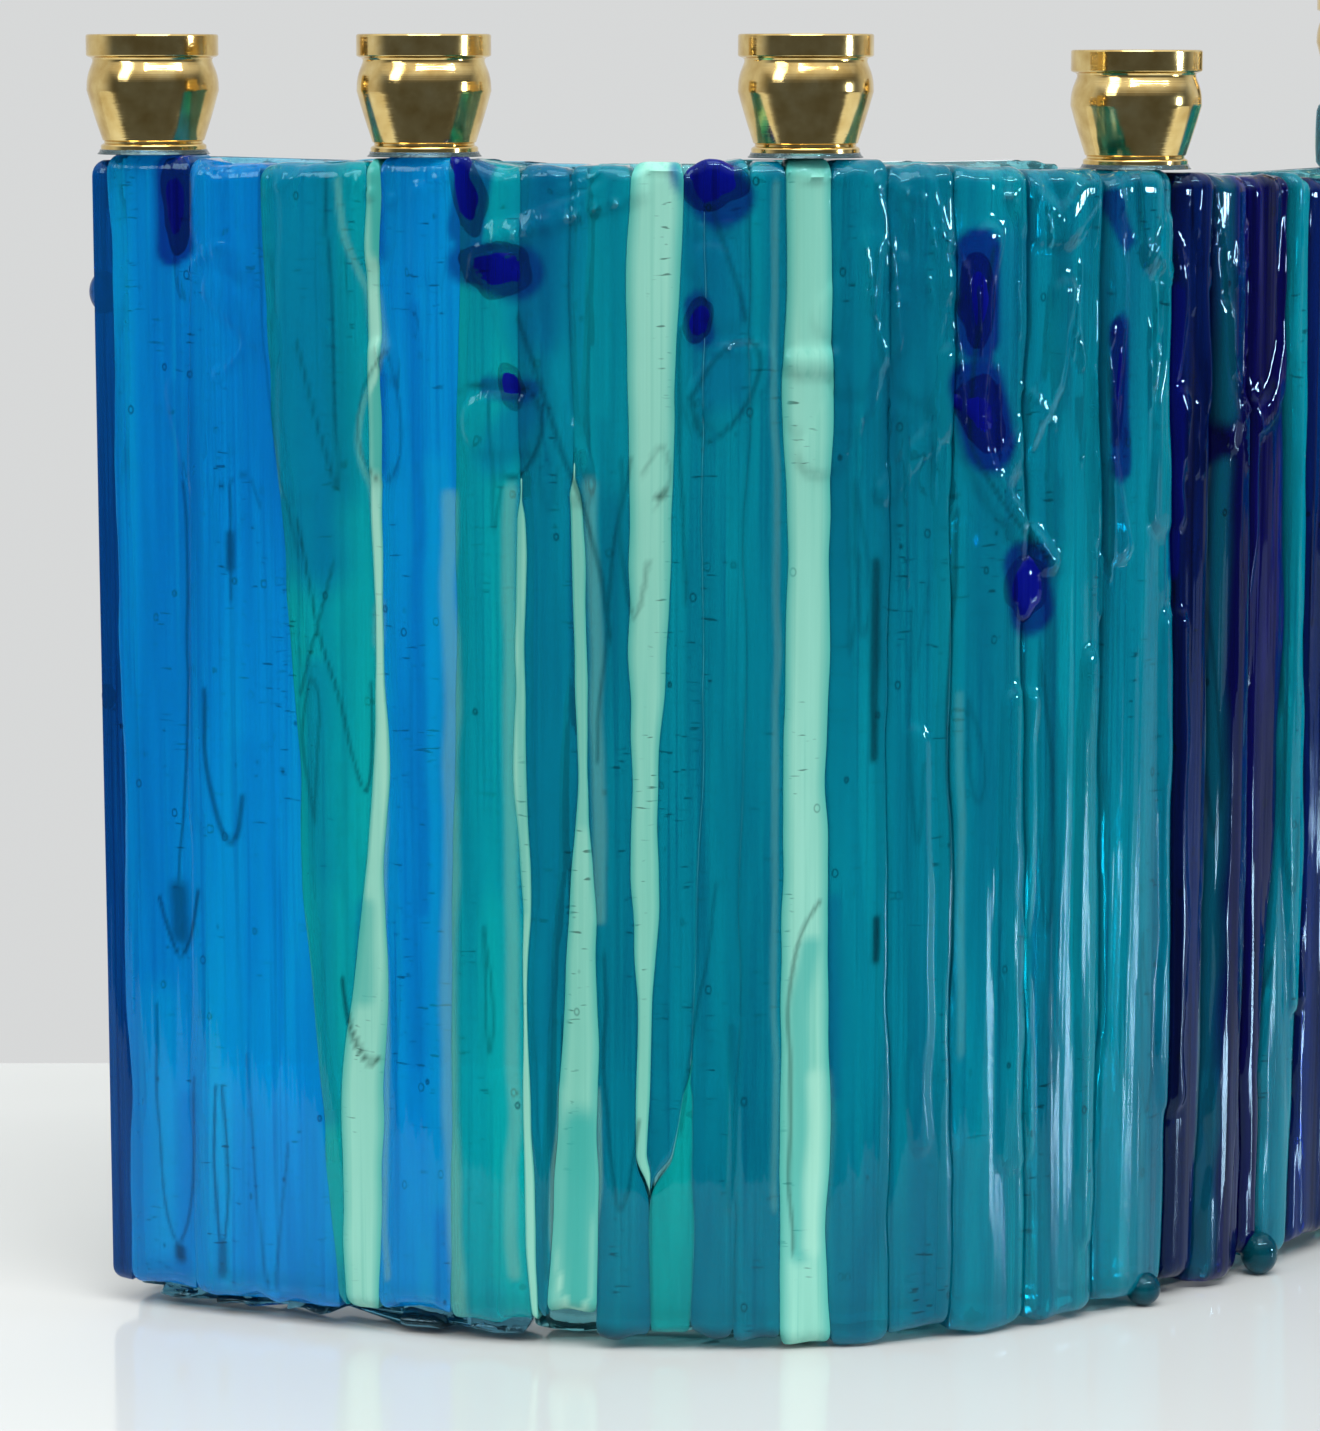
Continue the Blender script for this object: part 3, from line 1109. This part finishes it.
def add_table():
    """A pale glossy table top with rounded corners."""
    rim = []
    quarter = np.linspace(0, np.pi / 2, 12)
    corners = ((1, TABLE_BACK), (-1, TABLE_BACK), (-1, TABLE_FRONT), (1, TABLE_FRONT))
    for number, (side, end) in enumerate(corners):
        across = side * (TABLE_SIDE - TABLE_CORNER)
        along = end - math.copysign(TABLE_CORNER, end)
        for angle in quarter + number * np.pi / 2:
            place = RIGHT * (across + TABLE_CORNER * math.cos(angle))
            place = place + AHEAD * (along + TABLE_CORNER * math.sin(angle))
            rim.append((place.x / MM, place.y / MM))
    count = len(rim)
    points = [(x, y, 0.0) for x, y in rim] + [(x, y, -TABLE_THICKNESS / MM) for x, y in rim]
    faces = [tuple(range(count)), tuple(reversed(range(count, 2 * count)))]
    for i in range(count):
        j = (i + 1) % count
        faces.append((i, i + count, j + count, j))
    table = mesh_object("table_top", points, faces)
    table.data.set_sharp_from_angle(angle=math.radians(30))
    shader = Shader(bpy.data.materials.new("white_table"))
    surface = shader.add("ShaderNodeBsdfPrincipled")
    tone = shader.noise(120, 120, detail=2.0)
    colour = shader.ramp(tone, [(0.3, (0.58, 0.6, 0.59)), (0.7, (0.63, 0.65, 0.64))])
    shader.feed(surface.inputs["Base Color"], colour)
    surface.inputs["Roughness"].default_value = 0.1
    shader.feed(shader.output.inputs["Surface"], surface.outputs["BSDF"])
    table.data.materials.append(shader.owner)


def add_world():
    """Soft room light: pale behind, dark low down on the camera's side and lighter overhead."""
    shader = Shader(bpy.data.worlds.new("room"), "ShaderNodeOutputWorld")
    split = shader.add("ShaderNodeSeparateXYZ")
    shader.feed(split.inputs[0], shader.place["Generated"])
    away = shader.window(split.outputs["Y"], -0.25, 0.35, "SMOOTHSTEP")
    behind = shader.ramp(away, [(0, (0.1, 0.11, 0.12)), (1, (0.68, 0.69, 0.69))])
    up = shader.window(split.outputs["Z"], 0.12, 0.75, "SMOOTHSTEP")
    overhead = shader.ramp(up, [(0, (0.0, 0.0, 0.0)), (1, (1.0, 1.0, 1.0))])
    background = shader.add("ShaderNodeBackground")
    shader.feed(background.inputs["Color"], shader.blend(1.0, behind, overhead, "LIGHTEN"))
    shader.feed(shader.output.inputs["Surface"], background.outputs[0])
    bpy.context.scene.world = shader.owner


add_camera()
add_table()
add_world()
area_light("front_overhead", (-0.2, -0.55, 1.5), (0, 0, 0.05), (1.0, 0.8), 9.0)
area_light("tube_overhead", (0.1, -0.75, 1.0), (0, 0, 0.1), (1.3, 0.04), 8.0)
area_light("window_right", (1.05, -0.62, 0.215), (0, 0, 0.06), (0.16, 0.14), 5.5, (0.8, 0.9, 1.0))
area_light("left_fill", (-1.1, -0.5, 0.8), (0, 0, 0.08), (0.4, 0.6), 4.0, (1.0, 0.98, 0.95))

bpy.context.scene.view_settings.view_transform = "Standard"
